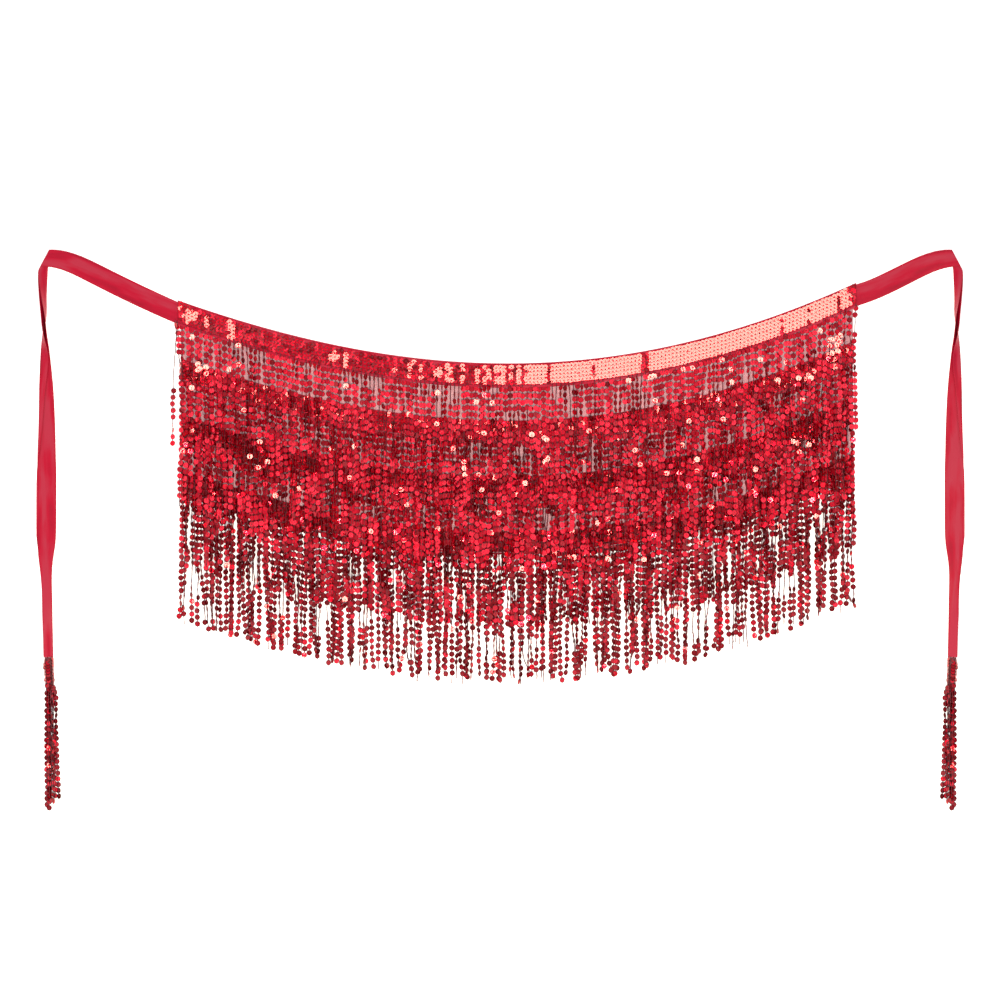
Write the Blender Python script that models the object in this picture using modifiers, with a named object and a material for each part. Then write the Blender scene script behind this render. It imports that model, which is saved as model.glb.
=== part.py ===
# Sequin fringe belt, laid out flat on its back.
# Metres. +Z is up from the table, +Y points to the waist, +X to the right.
# The origin is on the table, under the middle of the whole outline.
# The waist edge is one curve, and every panel and fringe hangs a set depth below it.

import math
from collections import namedtuple

import bmesh
import bpy
import numpy as np
from mathutils import Matrix, Vector

COLLECTION = "sequin_fringe_belt"
CUTTERS = "belt_guides"
SEED = 7

# The curve of the waist edge
CURVE_MID = 0.0174
CURVE_HALF = 0.408
WAIST_LOW = 0.2011
SAG = 0.0901
SLANT = 0.0037
SKEW = 0.0059
FLATTEN = 0.0036

# Ends of the waistband and of the net below it
WAIST_LEFT = -0.3870
WAIST_RIGHT = 0.4266
NET_LEFT = -0.3834
NET_RIGHT = 0.4230
COLUMNS = 24

# Cloth layers
SEAM = 0.0003
NET_THICK = 0.0010
SATIN_THICK = 0.0012
HEADING_THICK = 0.0010
WAIST_HIGH = 0.0288
SATIN_EDGE = 0.0019
HEADING_HIGH = 0.0245

# Fringe tiers
TIERS = 4
FIRST_ROOT = SATIN_EDGE + HEADING_HIGH
TIER_DROP = 0.0667
STRAND_LENGTH = 0.1560
STRIP_HIGH = 0.0030
STRIP_THICK = 0.0012
LOCKS = 60
LOCK_WIDE = 0.0070
LOCK_WIDE_SPREAD = 0.0005
LOCK_THICK = 0.0024
ROOT_WIDE = 0.0046
ROOT_SPREAD = 0.0004
SWAY = 0.0019
RAGGED = 0.0042
FLOOR_GAP = 0.0005

# Ribbon ties
RIBBON_THICK = 0.0010
BEND = 0.00204
BEND_STEPS = 3

# Tassels
STRAND_WIDE = 0.0036
STRAND_THICK = 0.0022
HEAD_CORNERS = 8

SATIN_RED = (0.62, 0.010, 0.040)
NET_RED = (0.52, 0.060, 0.100)
SEQUIN_RED = (0.45, 0.006, 0.025)

# Where a lock passes on its way down: depth below the waist edge, and its underside.
# Each tier climbs over the headings and the locks that lie below it.
Ring = namedtuple("Ring", "depth low")
LOCK_PATHS = (
    (Ring(0.0600, 0.0028), Ring(0.0920, 0.0042), Ring(0.1280, 0.0069)),
    (Ring(0.1000, 0.0013), Ring(0.1280, 0.0040), Ring(0.1860, 0.0040), Ring(0.1970, 0.0059)),
    (Ring(0.1670, 0.0013), Ring(0.1860, 0.0013), Ring(0.1970, 0.0032), Ring(0.2550, 0.0032)),
    (Ring(0.2370, FLOOR_GAP), Ring(0.3100, FLOOR_GAP)),
)

# Sections along a tie on the left side, from its seam to the tassel. x, y is the middle
# of what shows, low the height of its underside, across the way from the lower to the
# upper edge in degrees, flat and turned the cloth before and after its lengthwise fold,
# turn the angle of that fold and roll the twist about the ribbon's own length.
Row = namedtuple("Row", "x y low across flat turned turn roll")
LEFT_SEAM = (
    Row(-0.3873, 0.2615, 0.0013, 90, 0.0234, 0.0010, 0, 0),
    Row(-0.3890, 0.2622, 0.0013, 88, 0.0232, 0.0010, 0, 0),
    Row(-0.4081, 0.2705, 0.0000, 65, 0.0220, 0.0010, 0, 0),
)
RIGHT_SEAM = (
    Row(-0.4269, 0.2828, 0.0013, 90, 0.0232, 0.0010, 0, 0),
    Row(-0.4286, 0.2832, 0.0013, 85, 0.0228, 0.0010, 0, 0),
)
TIE_ROWS = (
    Row(-0.4513, 0.2906, 0.0000, 65, 0.0220, 0.0010, 0, 0),
    Row(-0.4885, 0.3096, 0.0000, 65, 0.0220, 0.0010, 0, 0),
    Row(-0.5064, 0.3185, 0.0004, 69, 0.0214, 0.0010, 0, 0),
    Row(-0.5238, 0.3250, 0.0019, 78, 0.0200, 0.0010, 0, 0),
    Row(-0.5370, 0.3272, 0.0031, 78, 0.0184, 0.0010, 0, 0),
    Row(-0.5456, 0.3276, 0.0031, 64, 0.0190, 0.0010, 0, 0),
    Row(-0.5463, 0.3277, 0.0029, 62, 0.0192, 0.0010, 0, 0),
    Row(-0.5466, 0.3277, 0.0023, 62, 0.0192, 0.0010, 0, 0),
    Row(-0.5464, 0.3272, 0.0017, 61, 0.0192, 0.0010, 0, 0),
    Row(-0.5461, 0.3262, 0.0014, 58, 0.0190, 0.0010, 0, 0),
    Row(-0.5470, 0.3228, 0.0000, 47, 0.0172, 0.0030, 180, 0),
    Row(-0.5480, 0.3178, 0.0000, 32, 0.0134, 0.0094, 180, 0),
    Row(-0.5492, 0.3112, 0.0000, 12, 0.0115, 0.0114, 180, 8),
    Row(-0.5491, 0.3036, 0.0000, 0, 0.0115, 0.0114, 176, 30),
    Row(-0.5490, 0.2892, 0.0000, 0, 0.0115, 0.0114, 172, 54),
    Row(-0.5484, 0.2736, 0.0000, 0, 0.0115, 0.0114, 168, 68),
    Row(-0.5473, 0.2592, 0.0000, 0, 0.0115, 0.0114, 162, 82),
    Row(-0.5471, 0.2472, 0.0000, 0, 0.0115, 0.0114, 162, 98),
    Row(-0.5466, 0.2328, 0.0000, 0, 0.0115, 0.0114, 166, 118),
    Row(-0.5462, 0.2196, 0.0000, 0, 0.0117, 0.0112, 172, 142),
    Row(-0.5459, 0.2052, 0.0000, 0, 0.0120, 0.0109, 180, 165),
    Row(-0.5454, 0.1872, 0.0000, 0, 0.0144, 0.0086, 180, 180),
    Row(-0.5448, 0.1668, 0.0000, 0, 0.0168, 0.0062, 180, 180),
    Row(-0.5442, 0.1392, 0.0000, 0, 0.0183, 0.0047, 180, 180),
    Row(-0.5442, 0.1092, 0.0000, 0, 0.0202, 0.0028, 180, 180),
    Row(-0.5447, 0.0876, 0.0000, 0, 0.0215, 0.0015, 180, 180),
    Row(-0.5448, 0.0780, 0.0000, 0, 0.0210, 0.0010, 0, 180),
    Row(-0.5450, 0.0372, 0.0000, 0, 0.0210, 0.0010, 0, 180),
    Row(-0.5450, 0.0012, 0.0000, 0, 0.0210, 0.0010, 0, 180),
    Row(-0.5454, -0.0150, 0.0000, 0, 0.0206, 0.0010, 0, 180),
    Row(-0.5454, -0.0288, 0.0000, 0, 0.0180, 0.0050, -180, 180),
    Row(-0.5454, -0.0444, 0.0000, 0, 0.0138, 0.0092, -180, 180),
    Row(-0.5444, -0.0624, 0.0000, 0, 0.0116, 0.0113, -180, 180),
    Row(-0.5436, -0.0828, 0.0000, 0, 0.0115, 0.0114, -178, 182),
    Row(-0.5435, -0.1008, 0.0000, 0, 0.0115, 0.0114, -175, 196),
    Row(-0.5425, -0.1212, 0.0000, 0, 0.0115, 0.0114, -172, 210),
    Row(-0.5420, -0.1512, 0.0000, 0, 0.0115, 0.0114, -172, 210),
)

# Rings of the left tassel's rolled head
HeadRing = namedtuple("HeadRing", "x y wide high")
HEAD_RINGS = (
    HeadRing(-0.5419, -0.1515, 0.0104, 0.0062),
    HeadRing(-0.5414, -0.1644, 0.0112, 0.0050),
    HeadRing(-0.5406, -0.1805, 0.0092, 0.0044),
    HeadRing(-0.5400, -0.1868, 0.0122, 0.0060),
    HeadRing(-0.5392, -0.1925, 0.0146, 0.0054),
)

# Strands of the left tassel: places across at the root, halfway and at the end
Strand = namedtuple("Strand", "root middle tip end_y low")
TASSEL_STRANDS = (
    Strand(-0.5440, -0.5435, -0.5430, -0.3372, FLOOR_GAP),
    Strand(-0.5392, -0.5390, -0.5387, -0.3300, FLOOR_GAP),
    Strand(-0.5344, -0.5332, -0.5300, -0.3204, FLOOR_GAP),
    Strand(-0.5416, -0.5413, -0.5408, -0.3240, 0.0030),
    Strand(-0.5368, -0.5360, -0.5346, -0.3276, 0.0030),
)
STRAND_ROOT_Y = -0.1880
STRAND_MIDDLE_Y = -0.2620


def clear_scene():
    for thing in list(bpy.data.objects):
        bpy.data.objects.remove(thing, do_unlink=True)


def collection(name):
    made = bpy.data.collections.new(name)
    bpy.context.scene.collection.children.link(made)
    return made


def finish(name, colour, roughness, metallic):
    made = bpy.data.materials.new(name)
    made.use_nodes = True
    shader = made.node_tree.nodes["Principled BSDF"]
    shader.inputs["Base Color"].default_value = (*colour, 1)
    shader.inputs["Roughness"].default_value = roughness
    shader.inputs["Metallic"].default_value = metallic
    made.diffuse_color = (*colour, 1)
    return made


def satin(name):
    return finish(name + "_satin", SATIN_RED, 0.45, 0.0)


def net(name):
    return finish(name + "_net", NET_RED, 0.8, 0.0)


def sequins(name):
    return finish(name + "_sequins", SEQUIN_RED, 0.25, 0.6)


def place(name, bm, material, into):
    mesh = bpy.data.meshes.new(name)
    bm.to_mesh(mesh)
    bm.free()
    mesh.materials.append(material)
    made = bpy.data.objects.new(name, mesh)
    into.objects.link(made)
    return made


def waist_line(x):
    # How far up the table the belt's top edge lies at x
    u = (x - CURVE_MID) / CURVE_HALF
    return WAIST_LOW + SLANT * u + SAG * u**2 + SKEW * u**3 - FLATTEN * u**4


def below_waist(x, depth, z):
    return Vector((x, waist_line(x) - depth, z))


def add_wall(made, thickness, offset):
    wall = made.modifiers.new("wall", "SOLIDIFY")
    wall.thickness = thickness
    wall.offset = offset
    wall.use_even_offset = True
    wall.use_quality_normals = True


def cloth_panel(name, left, right, upper, lower, base, thickness, material, into):
    # A flat panel between two depths below the waist edge, with its underside at base
    bm = bmesh.new()
    bmesh.ops.create_grid(bm, x_segments=COLUMNS, y_segments=1, size=0.5)
    for v in bm.verts:
        x = left + (v.co.x + 0.5) * (right - left)
        depth = lower + (v.co.y + 0.5) * (upper - lower)
        v.co = below_waist(x, depth, base)
    made = place(name, bm, material, into)
    add_wall(made, thickness, 1)
    return made


def bridge(bm, first, second):
    # Faces between two rings with the same number of corners
    count = len(first)
    for i in range(count):
        j = (i + 1) % count
        bm.faces.new((first[i], first[j], second[j], second[i]))


def tube(bm, start, rings):
    # Rings of corners, each joined to the one before it, and a closed end
    before = start
    for ring in rings:
        corners = [bm.verts.new(point) for point in ring]
        bridge(bm, before, corners)
        before = corners
    bm.faces.new(before)


def root_depth(tier):
    return FIRST_ROOT + tier * TIER_DROP


def heading_base(tier):
    # The first heading lies on the waistband, the others on the net
    on_net = NET_THICK + SEAM
    return on_net + (SATIN_THICK + SEAM if tier == 0 else 0)


def lock_rings(tier, middle, top_depth, chance):
    # Four corners at each depth: left and right below, right and left above
    wide = LOCK_WIDE + LOCK_WIDE_SPREAD * chance.uniform(-1, 1)
    sway = SWAY * chance.uniform(-1, 1)
    end = root_depth(tier) + STRAND_LENGTH + RAGGED * chance.uniform(-1, 1)
    path = [*LOCK_PATHS[tier], Ring(end, LOCK_PATHS[tier][-1].low)]
    for depth, low in path:
        share = (depth - top_depth) / STRAND_LENGTH
        x = middle + sway * share
        high = low + LOCK_THICK
        left, right = x - wide / 2, x + wide / 2
        yield [
            Vector((left, waist_line(x) - depth, low)),
            Vector((right, waist_line(x) - depth, low)),
            Vector((right, waist_line(x) - depth, high)),
            Vector((left, waist_line(x) - depth, high)),
        ]


def fringe(tier, left, right, material, into):
    # A narrow strip under the heading, with every lock drawn out of its lower side
    chance = np.random.RandomState(SEED + tier)
    bm = bmesh.new()
    upper = root_depth(tier) + SEAM
    lower = upper + STRIP_HIGH
    base = heading_base(tier)
    pitch = (right - left) / LOCKS
    shift = chance.uniform(-1, 1, LOCKS) * ROOT_SPREAD
    middles = [left + pitch * (i + 0.5) + shift[i] for i in range(LOCKS)]
    columns = [left]
    for middle in middles:
        columns += [middle - ROOT_WIDE / 2, middle + ROOT_WIDE / 2]
    columns.append(right)
    corners = [
        [
            bm.verts.new(below_waist(x, depth, z))
            for depth, z in (
                (upper, base),
                (lower, base),
                (lower, base + STRIP_THICK),
                (upper, base + STRIP_THICK),
            )
        ]
        for x in columns
    ]
    bm.faces.new(corners[0])
    bm.faces.new(corners[-1])
    for i, (a, b) in enumerate(zip(corners, corners[1:])):
        bm.faces.new((a[0], a[1], b[1], b[0]))
        bm.faces.new((a[2], a[3], b[3], b[2]))
        bm.faces.new((a[3], a[0], b[0], b[3]))
        if i % 2:
            rings = lock_rings(tier, middles[i // 2], lower, chance)
            tube(bm, [a[1], b[1], b[2], a[2]], rings)
        else:
            bm.faces.new((a[1], a[2], b[2], b[1]))
    bmesh.ops.recalc_face_normals(bm, faces=bm.faces)
    return place(f"fringe_{tier + 1}", bm, material, into)


def closed_loft(bm, rings, side):
    rings = [[Vector((side * p.x, p.y, p.z)) for p in ring] for ring in rings]
    start = [bm.verts.new(point) for point in rings[0]]
    bm.faces.new(start)
    tube(bm, start, rings[1:])


def ribbon_profile(row):
    # The cloth's middle in its own plane: the flat stretch, the bend and what is turned
    across, up = row.flat, 0.0
    points = [(0.0, up), (across, up)]
    turn = math.radians(row.turn)
    for step in range(BEND_STEPS):
        heading = turn * (step + 0.5) / BEND_STEPS
        across += BEND / BEND_STEPS * math.cos(heading)
        up += BEND / BEND_STEPS * math.sin(heading)
        points.append((across, up))
    points.append((across + row.turned * math.cos(turn), up + row.turned * math.sin(turn)))
    ends = [a for a, _ in points]
    middle = (min(ends) + max(ends)) / 2
    return [Vector((a - middle, u)) for a, u in points]


def ribbon_outline(row):
    # Both faces of the wall round the profile, mitred at each corner
    points = ribbon_profile(row)
    steps = [(b - a).normalized() for a, b in zip(points, points[1:])]
    above, below = [], []
    for i, point in enumerate(points):
        first = steps[max(i - 1, 0)]
        second = steps[min(i, len(steps) - 1)]
        bisector = Vector((-first.y - second.y, first.x + second.x)).normalized()
        reach = RIBBON_THICK / 2 / bisector.dot(Vector((-second.y, second.x)))
        above.append(point + bisector * reach)
        below.append(point - bisector * reach)
    return above + below[::-1]


def tie_section(before, row, after):
    # The outline set square to the ribbon's way, rolled, and lowered onto the table
    way = Vector((after.x - before.x, after.y - before.y, after.low - before.low))
    angle = math.radians(row.across)
    across = Vector((math.cos(angle), math.sin(angle), 0))
    up = across.cross(way).normalized()
    roll = Matrix.Rotation(math.radians(row.roll), 3, across.cross(up))
    points = [roll @ (across * p.x + up * p.y) for p in ribbon_outline(row)]
    if row.across == 0:
        middle = (min(p.x for p in points) + max(p.x for p in points)) / 2
        points = [p - Vector((middle, 0, 0)) for p in points]
    drop = min(p.z for p in points)
    return [p + Vector((row.x, row.y, row.low - drop)) for p in points]


def tie(name, side, seam, material, into):
    # From its own seam on, the right tie is the left one mirrored
    rows = seam + TIE_ROWS
    sections = []
    for i, row in enumerate(rows):
        before = rows[max(i - 1, 0)]
        after = rows[min(i + 1, len(rows) - 1)]
        sections.append(tie_section(before, row, after))
    bm = bmesh.new()
    closed_loft(bm, sections, side)
    bmesh.ops.recalc_face_normals(bm, faces=bm.faces)
    return place(name, bm, material, into)


def head_ring(ring):
    # A rounded section with a flat underside on the table
    half = math.pi / HEAD_CORNERS
    tall = ring.high / (2 * math.cos(half))
    broad = ring.wide / (2 * math.cos(half))
    corners = []
    for i in range(HEAD_CORNERS):
        angle = half * (2 * i + 1)
        z = ring.high / 2 + tall * math.sin(angle)
        corners.append(Vector((ring.x + broad * math.cos(angle), ring.y, z)))
    return corners


def strand_rings(strand):
    places = (
        (strand.root, STRAND_ROOT_Y),
        (strand.middle, STRAND_MIDDLE_Y),
        (strand.tip, strand.end_y),
    )
    half = STRAND_WIDE / 2
    high = strand.low + STRAND_THICK
    for x, y in places:
        yield [
            Vector((x - half, y, strand.low)),
            Vector((x + half, y, strand.low)),
            Vector((x + half, y, high)),
            Vector((x - half, y, high)),
        ]


def tassel(name, side, material, into, guides):
    # A rolled head with five strands fused into its lower end
    bm = bmesh.new()
    closed_loft(bm, [head_ring(ring) for ring in HEAD_RINGS], side)
    bmesh.ops.recalc_face_normals(bm, faces=bm.faces)
    head = place(name, bm, material, into)
    bm = bmesh.new()
    for strand in TASSEL_STRANDS:
        closed_loft(bm, list(strand_rings(strand)), side)
    bmesh.ops.recalc_face_normals(bm, faces=bm.faces)
    strands = place(name + "_strands", bm, material, guides)
    strands.hide_render = True
    strands.display_type = "WIRE"
    union = head.modifiers.new("strands", "BOOLEAN")
    union.operation = "UNION"
    union.object = strands
    return head


def panels(into):
    net_drop = root_depth(TIERS - 1)
    on_net = NET_THICK + SEAM
    cloth_panel(
        "base_net", NET_LEFT, NET_RIGHT, 0, net_drop, 0, NET_THICK, net("base_net"), into
    )
    cloth_panel(
        "waistband",
        WAIST_LEFT,
        WAIST_RIGHT,
        0,
        WAIST_HIGH,
        on_net,
        SATIN_THICK,
        satin("waistband"),
        into,
    )
    for tier in range(TIERS):
        name = f"sequin_band_{tier + 1}"
        left, right = (NET_LEFT, NET_RIGHT) if tier else (WAIST_LEFT, WAIST_RIGHT)
        cloth_panel(
            name,
            left,
            right,
            root_depth(tier) - HEADING_HIGH,
            root_depth(tier),
            heading_base(tier),
            HEADING_THICK,
            sequins(name),
            into,
        )


def main():
    clear_scene()
    belt = collection(COLLECTION)
    guides = collection(CUTTERS)
    panels(belt)
    for tier in range(TIERS):
        left, right = (NET_LEFT, NET_RIGHT) if tier else (WAIST_LEFT, WAIST_RIGHT)
        fringe(tier, left, right, sequins(f"fringe_{tier + 1}"), belt)
    for name, side, seam in (("left", 1, LEFT_SEAM), ("right", -1, RIGHT_SEAM)):
        tie("tie_" + name, side, seam, satin("tie_" + name), belt)
        tassel("tassel_" + name, side, sequins("tassel_" + name), belt, guides)


main()
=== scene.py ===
import math

import bpy
import numpy as np
from mathutils import Matrix, Vector


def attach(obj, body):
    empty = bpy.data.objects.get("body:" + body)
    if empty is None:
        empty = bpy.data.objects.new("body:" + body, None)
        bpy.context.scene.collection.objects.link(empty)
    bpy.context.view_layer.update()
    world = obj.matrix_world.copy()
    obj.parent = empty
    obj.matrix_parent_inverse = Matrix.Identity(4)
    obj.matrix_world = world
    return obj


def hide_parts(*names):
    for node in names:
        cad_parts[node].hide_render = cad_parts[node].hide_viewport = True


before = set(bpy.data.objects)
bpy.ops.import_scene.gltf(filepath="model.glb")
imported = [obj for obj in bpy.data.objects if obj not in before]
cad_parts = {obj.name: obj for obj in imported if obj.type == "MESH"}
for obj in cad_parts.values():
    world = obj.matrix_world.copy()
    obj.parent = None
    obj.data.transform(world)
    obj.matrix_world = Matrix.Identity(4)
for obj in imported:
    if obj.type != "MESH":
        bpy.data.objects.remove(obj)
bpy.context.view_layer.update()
print("frame loaded:", len(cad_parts), "solids")

# the curve of the waist edge and where everything hangs from it, as in the solids
belt = {
    "curveMid": 0.0174,
    "curveHalf": 0.408,
    "waistLow": 0.2011,
    "slant": 0.0037,
    "sag": 0.0901,
    "skew": 0.0059,
    "flatten": 0.0036,
    "waistEnds": (-0.3870, 0.4266),
    "netEnds": (-0.3834, 0.4230),
    "tiers": 4,
    "firstRoot": 0.0264,
    "tierDrop": 0.0667,
    "headingHigh": 0.0245,
    "headingBase": (0.0028, 0.0013, 0.0013, 0.0013),
    "slopeStep": 0.001,
}

# floor, light and camera; each softbox has a place, size, watts, and where it points
studio = {
    "floor": (0.93, 0.93, 0.93),
    "floorWide": 8,
    "floorRough": 0.9,
    "floorGloss": 0.1,
    "glow": 0.5,
    "sky": 0.66,
    # colour of the boxes narrower than warmWide, whose light the sequins throw back
    "warm": (1.0, 0.84, 0.62),
    "warmWide": 1.0,
    "sensor": 36,
    "frameWide": 1.2,
    "cameraHigh": 6.0,
    "farthest": 50,
    "centre": (-0.0006, 0.0372),
    "boxes": {
        "leftBox": ((-1.7, 0.5, 1.5), (2.0, 1.8), 18, (0, 0.05, 0)),
        "rightBox": ((1.8, 0.4, 1.7), (1.8, 1.8), 16, (0, 0.05, 0)),
        "waistBox": ((0.20, -0.50, 1.6), (0.30, 0.30), 14.0, (0, 0.1, 0)),
        "glintBox": ((-0.15, -0.55, 1.6), (0.24, 0.24), 13.5, (0, 0.1, 0)),
    },
}


def waistLine(x):
    u = (x - belt["curveMid"]) / belt["curveHalf"]
    bend = belt["sag"] * u**2 + belt["skew"] * u**3 - belt["flatten"] * u**4
    return belt["waistLow"] + belt["slant"] * u + bend


def waistTurn(x):
    # how far the waist edge slopes at x, as an angle
    step = belt["slopeStep"]
    return np.arctan2(waistLine(x + step) - waistLine(x - step), 2 * step)


def endsOf(tier):
    return belt["netEnds"] if tier else belt["waistEnds"]


def rootOf(tier):
    return belt["firstRoot"] + tier * belt["tierDrop"]


def select(*things):
    bpy.ops.object.select_all(action="DESELECT")
    for thing in things:
        thing.select_set(True)
    bpy.context.view_layer.objects.active = things[0]


def meshPiece(name, points, faces):
    mesh = bpy.data.meshes.new(name)
    mesh.from_pydata([tuple(p) for p in points], [], [tuple(f) for f in faces])
    piece = bpy.data.objects.new(name, mesh)
    bpy.context.scene.collection.objects.link(piece)
    return piece


def addAttribute(piece, name, kind, domain, values):
    made = piece.data.attributes.new(name, kind, domain)
    made.data.foreach_set("vector" if kind == "FLOAT_VECTOR" else "value", values)


def applyModifier(piece, name, kind, **settings):
    made = piece.modifiers.new(name, kind)
    for key, value in settings.items():
        setattr(made, key, value)
    select(piece)
    bpy.ops.object.modifier_apply(modifier=name)


def joinInto(name, *parts):
    select(*parts)
    if len(parts) > 1:
        bpy.ops.object.join()
    piece = bpy.context.object
    piece.name = name
    piece.data.name = name
    return piece


# materials

def startMaterial(name):
    material = bpy.data.materials.new(name)
    material.use_nodes = True
    nodes = material.node_tree.nodes
    return material, nodes, material.node_tree.links, nodes["Principled BSDF"]


def rampNode(nodes, *stops):
    ramp = nodes.new("ShaderNodeValToRGB")
    ramp.color_ramp.elements[0].position = stops[0][0]
    ramp.color_ramp.elements[0].color = (*stops[0][1], 1)
    ramp.color_ramp.elements[1].position = stops[-1][0]
    ramp.color_ramp.elements[1].color = (*stops[-1][1], 1)
    for place, colour in stops[1:-1]:
        ramp.color_ramp.elements.new(place).color = (*colour, 1)
    return ramp


def noiseNode(nodes, links, coordinates, scale, detail=2.0):
    noise = nodes.new("ShaderNodeTexNoise")
    noise.inputs["Scale"].default_value = scale
    noise.inputs["Detail"].default_value = detail
    links.new(coordinates, noise.inputs["Vector"])
    return noise


def attributeNode(nodes, name):
    made = nodes.new("ShaderNodeAttribute")
    made.attribute_name = name
    return made


def blendNode(nodes, links, share, first, second):
    blend = nodes.new("ShaderNodeMix")
    blend.data_type = "RGBA"
    blend.inputs["B"].default_value = (*second, 1)
    links.new(share, blend.inputs["Factor"])
    links.new(first, blend.inputs["A"])
    return blend


def bumpNode(nodes, links, shader, height, bump):
    strength, distance = bump
    made = nodes.new("ShaderNodeBump")
    made.inputs["Strength"].default_value = strength
    made.inputs["Distance"].default_value = distance
    links.new(height, made.inputs["Height"])
    links.new(made.outputs["Normal"], shader.inputs["Normal"])


foil = {
    "dark": (0.215, 0.001, 0.005),
    "middle": (0.620, 0.003, 0.022),
    "bright": (0.900, 0.009, 0.034),
    # painted shade: the dark colour that each sequin's rim is blended towards
    "rimShade": (0.035, 0.000, 0.003),
    "rimShadeFade": (0.10, 0.80),
    "rimShadeMost": 0.85,
    "glancing": (0.70, 0.03, 0.07),
    "roughness": (0.14, 0.28),
    "metal": 0.70,
    "coat": (0.34, 0.05),  # weight and roughness
    "grain": 500,
    "bump": (0.08, 0.0003),
}


def foilMaterial():
    material, nodes, links, shader = startMaterial("sequinFoil")
    shader.inputs["Metallic"].default_value = foil["metal"]
    shader.inputs["Specular Tint"].default_value = (*foil["glancing"], 1)
    shader.inputs["Coat Weight"].default_value = foil["coat"][0]
    shader.inputs["Coat Roughness"].default_value = foil["coat"][1]
    tone = attributeNode(nodes, "tone")
    colours = rampNode(
        nodes, (0.0, foil["dark"]), (0.5, foil["middle"]), (1.0, foil["bright"])
    )
    links.new(tone.outputs["Fac"], colours.inputs["Fac"])
    # painted shade: each sequin is darkened towards its rim, standing in for the shade at
    # its edge
    rimShade = attributeNode(nodes, "rimShade")
    rimFrom, rimTo = foil["rimShadeFade"]
    rimShadeShare = rampNode(nodes, (rimFrom, (0, 0, 0)), (rimTo, (foil["rimShadeMost"],) * 3))
    links.new(rimShade.outputs["Fac"], rimShadeShare.inputs["Fac"])
    blend = blendNode(
        nodes, links, rimShadeShare.outputs["Color"], colours.outputs["Color"], foil["rimShade"]
    )
    links.new(blend.outputs["Result"], shader.inputs["Base Color"])
    place = nodes.new("ShaderNodeTexCoord")
    grain = noiseNode(nodes, links, place.outputs["Object"], foil["grain"])
    rough = nodes.new("ShaderNodeMapRange")
    rough.inputs["To Min"].default_value = foil["roughness"][0]
    rough.inputs["To Max"].default_value = foil["roughness"][1]
    links.new(grain.outputs["Fac"], rough.inputs["Value"])
    links.new(rough.outputs["Result"], shader.inputs["Roughness"])
    bumpNode(nodes, links, shader, grain.outputs["Fac"], foil["bump"])
    return material


thread = {
    "dark": (0.045, 0.002, 0.007),
    "light": (0.150, 0.008, 0.021),
    "plies": (0.2, 0.8),
    "twist": 1400,
    "roughness": 0.55,
    "radius": 0.00050,
    "bump": (0.5, 0.0001),
}


def threadMaterial():
    material, nodes, links, shader = startMaterial("sewingThread")
    shader.inputs["Roughness"].default_value = thread["roughness"]
    place = nodes.new("ShaderNodeTexCoord")
    twist = nodes.new("ShaderNodeTexWave")
    twist.bands_direction = "DIAGONAL"
    twist.inputs["Scale"].default_value = thread["twist"]
    links.new(place.outputs["Object"], twist.inputs["Vector"])
    darkAt, lightAt = thread["plies"]
    colours = rampNode(nodes, (darkAt, thread["dark"]), (lightAt, thread["light"]))
    links.new(twist.outputs["Fac"], colours.inputs["Fac"])
    links.new(colours.outputs["Color"], shader.inputs["Base Color"])
    bumpNode(nodes, links, shader, twist.outputs["Fac"], thread["bump"])
    return material


satin = {
    # shade and light are painted shade and painted sheen on the cloth; cloth is its own
    # colour
    "shade": (0.250, 0.000, 0.015),
    "cloth": (0.360, 0.000, 0.020),
    "light": (0.350, 0.018, 0.043),
    "edge": (0.330, 0.004, 0.022),
    "lustre": (0.34, 0.46, 0.56),
    "bands": (9, 110, 1),
    "bandDetail": 3.0,
    "roughness": 0.42,
    "gloss": 0.15,
    "sheen": (0.12, 0.4),  # weight and roughness
    "weave": 1500,
    "waver": 1.5,
    "bump": (0.25, 0.0001),
}


def satinMaterial():
    material, nodes, links, shader = startMaterial("ribbonSatin")
    shader.inputs["Roughness"].default_value = satin["roughness"]
    shader.inputs["Specular IOR Level"].default_value = satin["gloss"]
    shader.inputs["Sheen Weight"].default_value = satin["sheen"][0]
    shader.inputs["Sheen Roughness"].default_value = satin["sheen"][1]
    shader.inputs["Sheen Tint"].default_value = (*satin["light"], 1)
    place = nodes.new("ShaderNodeTexCoord")
    # painted sheen and shade: lighter and darker bands of colour lie along the cloth,
    # whichever way it runs
    cloth = attributeNode(nodes, "cloth")
    stretch = nodes.new("ShaderNodeVectorMath")
    stretch.operation = "MULTIPLY"
    stretch.inputs[1].default_value = satin["bands"]
    links.new(cloth.outputs["Vector"], stretch.inputs[0])
    patches = noiseNode(nodes, links, stretch.outputs["Vector"], 1.0, satin["bandDetail"])
    tones = (satin["shade"], satin["cloth"], satin["light"])
    colours = rampNode(nodes, *zip(satin["lustre"], tones))
    links.new(patches.outputs["Fac"], colours.inputs["Fac"])
    # the woven edge is a little darker than the cloth
    edge = attributeNode(nodes, "selvedge")
    blend = blendNode(
        nodes, links, edge.outputs["Fac"], colours.outputs["Color"], satin["edge"]
    )
    links.new(blend.outputs["Result"], shader.inputs["Base Color"])
    weave = nodes.new("ShaderNodeTexWave")
    weave.bands_direction = "DIAGONAL"
    weave.inputs["Scale"].default_value = satin["weave"]
    weave.inputs["Distortion"].default_value = satin["waver"]
    links.new(place.outputs["Object"], weave.inputs["Vector"])
    bumpNode(nodes, links, shader, weave.outputs["Fac"], satin["bump"])
    return material


net = {
    "thread": (0.44, 0.060, 0.090),
    "light": (0.58, 0.170, 0.220),
    "roughness": 0.7,
    "mesh": 900,
    "uneven": 0.35,
    "threadWide": (0.10, 0.30),
    "cover": (0.52, 0.16),  # how much a thread and a hole hide
    "bump": (0.4, 0.0002),
}


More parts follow.
